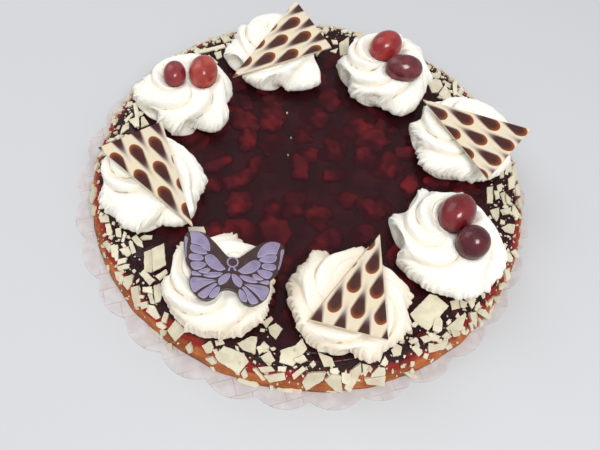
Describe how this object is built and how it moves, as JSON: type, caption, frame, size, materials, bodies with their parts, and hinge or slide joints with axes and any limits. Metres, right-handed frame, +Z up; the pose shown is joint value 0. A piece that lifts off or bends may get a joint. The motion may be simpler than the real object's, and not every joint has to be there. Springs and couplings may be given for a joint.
{
  "type": "cherry tart",
  "caption": "Round low fruit tart: cherry jelly in a flan base on scalloped paper, with a ring of piped cream rosettes, grapes, chocolate plates and flakes.",
  "frame": {"origin": "middle of the cake paper, on the surface that it lies on", "axes": "+Z up; +X and +Y level, +Y away from the side that the picture is taken from"},
  "size_m": [0.2728, 0.2734, 0.0503],
  "materials": {
    "paper": "matt white cake paper",
    "crust": "baked golden brown flan crust",
    "jelly": "glossy dark red jelly",
    "cream": "soft whipped cream",
    "grape": "glossy red grape skin",
    "ivory": "glossy white chocolate",
    "cocoa": "satin dark chocolate"
  },
  "bodies": {
    "root": {"paper_liner": "paper", "flan_base": "crust", "cherry_jelly": "jelly", "rosette_1": "cream", "rosette_2": "cream", "rosette_3": "cream", "rosette_4": "cream", "rosette_5": "cream", "rosette_6": "cream", "rosette_7": "cream", "rosette_8": "cream", "grape_1": "grape", "grape_2": "grape", "grape_3": "grape", "grape_4": "grape", "grape_5": "grape", "grape_6": "grape", "chocolate_triangle_1": "ivory", "chocolate_triangle_2": "ivory", "chocolate_triangle_3": "ivory", "chocolate_triangle_4": "ivory", "butterfly": "cocoa"}
  },
  "joints": []
}
